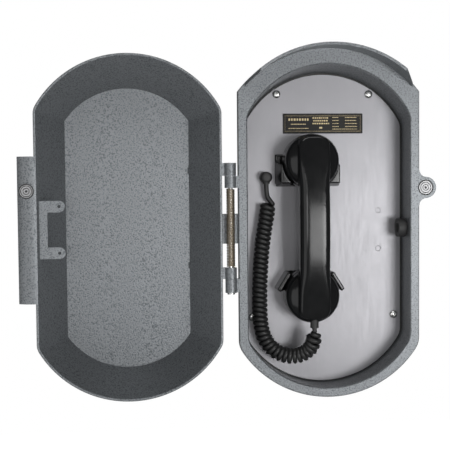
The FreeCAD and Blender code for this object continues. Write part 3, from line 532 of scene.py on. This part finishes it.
HANDLE_STEPS = 110
HANDLE_HALF_W, HANDLE_END_R = 0.01735, 0.010
END_NARROWING = 0.9                             # share of the end's round that narrows the handle
HANDLE_WAIST = 0.0006                           # how much narrower the grip is on each side
FRONT_SKIN, FRONT_BOW = 0.0004, 0.0095          # behind the CAD's front: its middle, then its ends more
HANDLE_BACK_Y, BACK_RISE = -0.0925, 0.0125      # back of the grip, and how far its ends lie behind
BACK_SPEED, BACK_POWER = 1.6, 1.3               # how early and how roundly the back falls away
FRONT_R, FRONT_R_LOSS, BACK_R = 0.0078, 0.0040, 0.0055
ABOVE_EAR, BELOW_MOUTH = 0.0265, 0.0245         # the handle's ends past the middles of the cups
GRIP_HALF, GRIP_EASE = 0.045, 0.030             # the plain grip, then its change into the ends
CUP_WALL, CUP_DOME, CUP_FLAT_R, CUP_EDGE = 0.0090, 0.0125, 0.012, 0.0005
CUP_ARC_STEPS = 9


def handle_rings(bm, bottom, top, front_y):
    """Cross sections up the bowed handle, about its own middle."""
    middle_z, half_z = (top + bottom) / 2, (top - bottom) / 2
    rings = []
    for k in range(HANDLE_STEPS + 1):
        z = bottom + (top - bottom) * k / HANDLE_STEPS - middle_z
        bow = (z / half_z) ** 2
        front = front_y + FRONT_SKIN + FRONT_BOW * bow
        back = HANDLE_BACK_Y + BACK_RISE * min(1.0, bow * BACK_SPEED) ** BACK_POWER
        ends = smooth_step((abs(z) - GRIP_HALF) / GRIP_EASE)
        inward = max(0.0, HANDLE_END_R - (half_z - abs(z)))
        narrowing = HANDLE_END_R - math.sqrt(HANDLE_END_R ** 2 - inward ** 2)
        half_w = HANDLE_HALF_W - HANDLE_WAIST * (1 - ends) - narrowing * END_NARROWING
        rings.append(rounded_section(bm, z, half_w, front, back, FRONT_R - FRONT_R_LOSS * ends, BACK_R))
    return rings


def make_handset(material):
    """The handset's shell: a bowed handle that widens into a domed cup at each end."""
    ear_low, ear_high = corner_box("ear_cap")
    mouth_low, mouth_high = corner_box("mouth_cap")
    ear, mouth = (ear_low + ear_high) / 2, (mouth_low + mouth_high) / 2
    cup_r, joint = (ear_high.x - ear_low.x) / 2, ear_low.y
    top, bottom = ear.z + ABOVE_EAR, mouth.z - BELOW_MOUTH
    bm = bmesh.new()
    rings = handle_rings(bm, bottom, top, corner_box("handset_body")[0].y)
    for low, high in zip(rings, rings[1:]):
        for k in range(len(low)):
            after = (k + 1) % len(low)
            bm.faces.new((low[k], low[after], high[after], high[k]))
    bm.faces.new(rings[0][::-1])
    bm.faces.new(rings[-1])
    bmesh.ops.translate(bm, verts=bm.verts, vec=(ear.x, 0, (top + bottom) / 2))
    profile = [(0, 0), (cup_r - CUP_EDGE, 0), (cup_r, CUP_EDGE), (cup_r, CUP_WALL)]
    for k in range(1, CUP_ARC_STEPS):
        turn = math.radians(90 * k / CUP_ARC_STEPS)
        profile.append((CUP_FLAT_R + (cup_r - CUP_FLAT_R) * math.cos(turn),
                        CUP_WALL + CUP_DOME * math.sin(turn)))
    profile += [(CUP_FLAT_R, CUP_WALL + CUP_DOME), (0, CUP_WALL + CUP_DOME)]
    for centre in (ear, mouth):
        lathe(bm, (centre.x, joint, centre.z), -Y_AXIS, profile, 72)
    shell = new_piece("handset_shell", bm, 180)
    soften(shell, voxel=0.0010, rounds=9)
    fit(shell, material, "handset", ["handset_body"])


SCREW_HEAD_R, SCREW_HEAD_H, SCREW_EDGE = 0.0046, 0.0026, 0.0004
TOP_SCREW_X = 0.0533                                  # the upper pair sits closer than the lower one
RECESS_HALF_W, RECESS_HALF_L, RECESS_DEPTH = 0.00085, 0.0027, 0.0011
RECESS_EASE, RECESS_FROM = 0.0004, 0.0005             # its soft edge; nothing moves nearer the seat


def screw_head_profile():
    """A pan head: a short straight edge under a flattened dome."""
    rings = 22
    profile = [(0, 0.0), (SCREW_HEAD_R * 0.96, 0.0), (SCREW_HEAD_R, SCREW_EDGE)]
    for k in range(rings):
        share = 1 - k / rings
        rise = (SCREW_HEAD_H - SCREW_EDGE) * (1 - share ** 3) ** 0.6
        profile.append((SCREW_HEAD_R * share, SCREW_EDGE + rise))
    return profile + [(0, SCREW_HEAD_H)]


def sink_recess(verts, x, z):
    """Press a cross into the front of a screw head."""
    for vert in verts:
        across, along = sorted((abs(vert.co.x - x), abs(vert.co.z - z)))
        depth = (smooth_step((RECESS_HALF_W - across) / RECESS_EASE)
                 * smooth_step((RECESS_HALF_L - along) / RECESS_EASE))
        vert.co.y += RECESS_DEPTH * depth


def make_screws(material):
    """Four pan head screws with a rounded head and a cross recess."""
    low, high = corner_box("faceplate_screws")
    seat = corner_box("faceplate")[0].y
    places = [(side * TOP_SCREW_X, high.z - SCREW_HEAD_R) for side in (-1, 1)]
    places += [(x, low.z + SCREW_HEAD_R) for x in (low.x + SCREW_HEAD_R, high.x - SCREW_HEAD_R)]
    bm = bmesh.new()
    for x, z in places:
        first = len(bm.verts)
        lathe(bm, (x, seat, z), -Y_AXIS, screw_head_profile(), 72)
        bm.verts.ensure_lookup_table()
        sink_recess([vert for vert in bm.verts[first:] if vert.co.y <= seat - RECESS_FROM], x, z)
    screws = new_piece("faceplate_screw_heads", bm, 35)
    fit(screws, material, "base", ["faceplate_screws"])


SEAT_GAP, FACE_CHAMFER = 0.0007, 0.0004               # painted shadow at the seat round the disc, then the disc's edge
GROOVE_DEPTH, SOCKET_R, SOCKET_DEPTH = 0.0003, 0.0013, 0.0009
OUTER_BAND, SCREW_BAND = (0.00548, 0.00612), (0.0030, 0.0035)    # radii of the painted shadow in each groove
BAND_SINK = 0.0001
SPOT_R, SPOT_SINK, SPOT_THICK = 0.00128, 0.0003, 0.0002          # the painted shadow in the screw's socket


def shadow_band(bm, centre, axis, inner_r, outer_r, front):
    """A black band of painted shadow that fills a groove up to front."""
    back = front - GROOVE_DEPTH
    profile = [(inner_r, back), (inner_r, front), (outer_r, front), (outer_r, back), (inner_r, back)]
    lathe(bm, centre, axis, profile, 64)


def make_catch_face(disc, screw, name, body, axis, metal, dark):
    """The turned face of the magnet or its strike: grooves and a sunk screw, with black painted shadow in
    its grooves, its socket and its seat.
    """
    low, high = corner_box(disc)
    centre = (low + high) / 2
    radius = (high.z - low.z) / 2
    edge = radius - SEAT_GAP
    axis = Vector(axis).normalized()
    face = ((high.y - low.y) - 2 * radius * abs(axis.x)) / (2 * abs(axis.y))
    groove = face - GROOVE_DEPTH
    profile = [(0, -face), (edge, -face), (edge, face - FACE_CHAMFER), (edge - FACE_CHAMFER, face),
               (0.0062, face), (0.0061, groove), (0.0055, groove), (0.0054, face),
               (0.0036, face), (0.0035, groove), (0.0030, groove), (0.0029, face - 0.00005),
               (SOCKET_R, face - 0.0001), (SOCKET_R, face - SOCKET_DEPTH), (0, face - SOCKET_DEPTH)]
    bm = bmesh.new()
    lathe(bm, centre, axis, profile, 72)
    fit(new_piece(name, bm), metal, body, [disc, screw])
    # black bands and a spot of painted shadow in the seat, the grooves and the socket
    bm = bmesh.new()
    for inner_r, outer_r in ((edge, radius), OUTER_BAND, SCREW_BAND):
        shadow_band(bm, centre, axis, inner_r, outer_r, face - BAND_SINK)
    front, back = face - SPOT_SINK, face - SPOT_SINK - SPOT_THICK
    lathe(bm, centre, axis, [(0, front), (SPOT_R, front), (SPOT_R, back), (0, back)], 32)
    fit(new_piece(name + "_shadow_lines", bm), dark, body)


STUD_R = 0.0015


def make_stud_marks(material):
    """The faint rings that welded studs leave on the front of the faceplate."""
    low, high = corner_box("weld_studs")
    seat = corner_box("faceplate")[0].y
    profile = [(0.0035, -0.0001), (0.0033, 0.00012), (0.0029, 0.00012), (0.0026, 0.00002),
               (0.0014, 0.00004), (0, 0.00008)]
    bm = bmesh.new()
    for z in (low.z + STUD_R, high.z - STUD_R):
        lathe(bm, (high.x - STUD_R, seat, z), -Y_AXIS, profile, 48)
    fit(new_piece("stud_marks", bm, 60), material, "base")


BAR_EASE, BAR_PROUD, BAR_SUNK = 0.00006, 0.00006, 0.0002    # bevel, and depth each side of the plate's face
BORDERS = ((0.0022, 0.00022), (0.0031, 0.00014))            # inset from the edge, line width
GAP_SHARE, LAST_SHARE = 0.42, 0.6                           # gap to height; least room to shortest bar


def thin_bar(bm, x0, x1, z0, z1, y_front, y_back):
    """A flat printed or etched bar, slightly narrower at its face."""
    back = [(x0, z0), (x1, z0), (x1, z1), (x0, z1)]
    ease = min(BAR_EASE, (z1 - z0) * 0.2)
    front = [(x0 + ease, z0 + ease), (x1 - ease, z0 + ease), (x1 - ease, z1 - ease),
             (x0 + ease, z1 - ease)]
    low = [bm.verts.new((x, y_back, z)) for x, z in back]
    high = [bm.verts.new((x, y_front, z)) for x, z in front]
    bm.faces.new(high)
    for k in range(4):
        after = (k + 1) % 4
        bm.faces.new((low[k], low[after], high[after], high[k]))
    bm.faces.new(low[::-1])


def dashes(bm, rng, x0, x1, z, height, y_front, y_back, shortest, longest):
    """A row of bars of uneven length with small gaps, like a line of unlettered print."""
    x = x0
    while x < x1 - shortest * LAST_SHARE:
        length = min(rng.uniform(shortest, longest), x1 - x)
        thin_bar(bm, x, x + length, z - height / 2, z + height / 2, y_front, y_back)
        x += length + height * GAP_SHARE


def make_print(material):
    """Gold print on the nameplate: a double border and rows of plain bars."""
    low, high = corner_box("nameplate")
    y_front, y_back = low.y - BAR_PROUD, low.y + BAR_SUNK
    width, tall = high.x - low.x, high.z - low.z
    bm = bmesh.new()
    for inset, line in BORDERS:
        x0, x1, z0, z1 = low.x + inset, high.x - inset, low.z + inset, high.z - inset
        thin_bar(bm, x0, x1, z0, z0 + line, y_front, y_back)
        thin_bar(bm, x0, x1, z1 - line, z1, y_front, y_back)
        thin_bar(bm, x0, x0 + line, z0 + line, z1 - line, y_front, y_back)
        thin_bar(bm, x1 - line, x1, z0 + line, z1 - line, y_front, y_back)
    rng = random.Random(7)

    def row(x0, x1, z, height, shortest, longest):
        """Dashes across a share of the plate; x0, x1 and z are shares of its width and height."""
        dashes(bm, rng, low.x + width * x0, low.x + width * x1, low.z + tall * z, height,
               y_front, y_back, shortest, longest)

    row(0.07, 0.32, 0.70, 0.0027, 0.0016, 0.0026)
    row(0.10, 0.29, 0.47, 0.0011, 0.0010, 0.0018)
    row(0.07, 0.32, 0.26, 0.0009, 0.0008, 0.0030)
    for z, x0, x1 in ((0.78, 0.37, 0.58), (0.64, 0.38, 0.57), (0.50, 0.37, 0.58)):
        row(x0, x1, z, 0.0016, 0.0012, 0.0024)
    row(0.455, 0.50, 0.29, 0.0021, 0.0030, 0.0040)
    for z in (0.80, 0.65, 0.50, 0.35):
        row(0.62, 0.70, z, 0.0009, 0.0007, 0.0016)
        row(0.78, 0.93, z, 0.0010, 0.0008, 0.0016)
    row(0.62, 0.93, 0.22, 0.0008, 0.0006, 0.0018)
    fit(new_piece("nameplate_print", bm, 20), material, "base")


def main():
    """Camera, studio and every piece."""
    make_camera()
    materials = make_materials()
    make_cord(materials["black_cord"])
    dress_nodes(materials)
    make_studio()
    make_spring(materials["spring_wire"])
    make_handset(materials["gloss_black"])
    soft_copy("handset_cradle", "cradle_moulding", "base", materials["gloss_black"])
    soft_copy("handset_clip", "clip_moulding", "base", materials["gloss_black"])
    make_screws(materials["stainless_fastener"])
    make_stud_marks(materials["stainless_sheet"])
    make_catch_face("catch_magnet", "catch_magnet_screw", "catch_magnet_face", "base", -Y_AXIS,
                    materials["bright_nickel"], materials["black_rubber"])
    open_turn = math.radians(LID_OPEN)
    make_catch_face("strike_disc", "strike_screw", "strike_face", "lid",
                    (math.sin(open_turn), math.cos(open_turn), 0), materials["bright_nickel"],
                    materials["black_rubber"])
    make_print(bright_metal("gold_print", (0.40, 0.33, 0.20), 0.34, 0.48))


main()
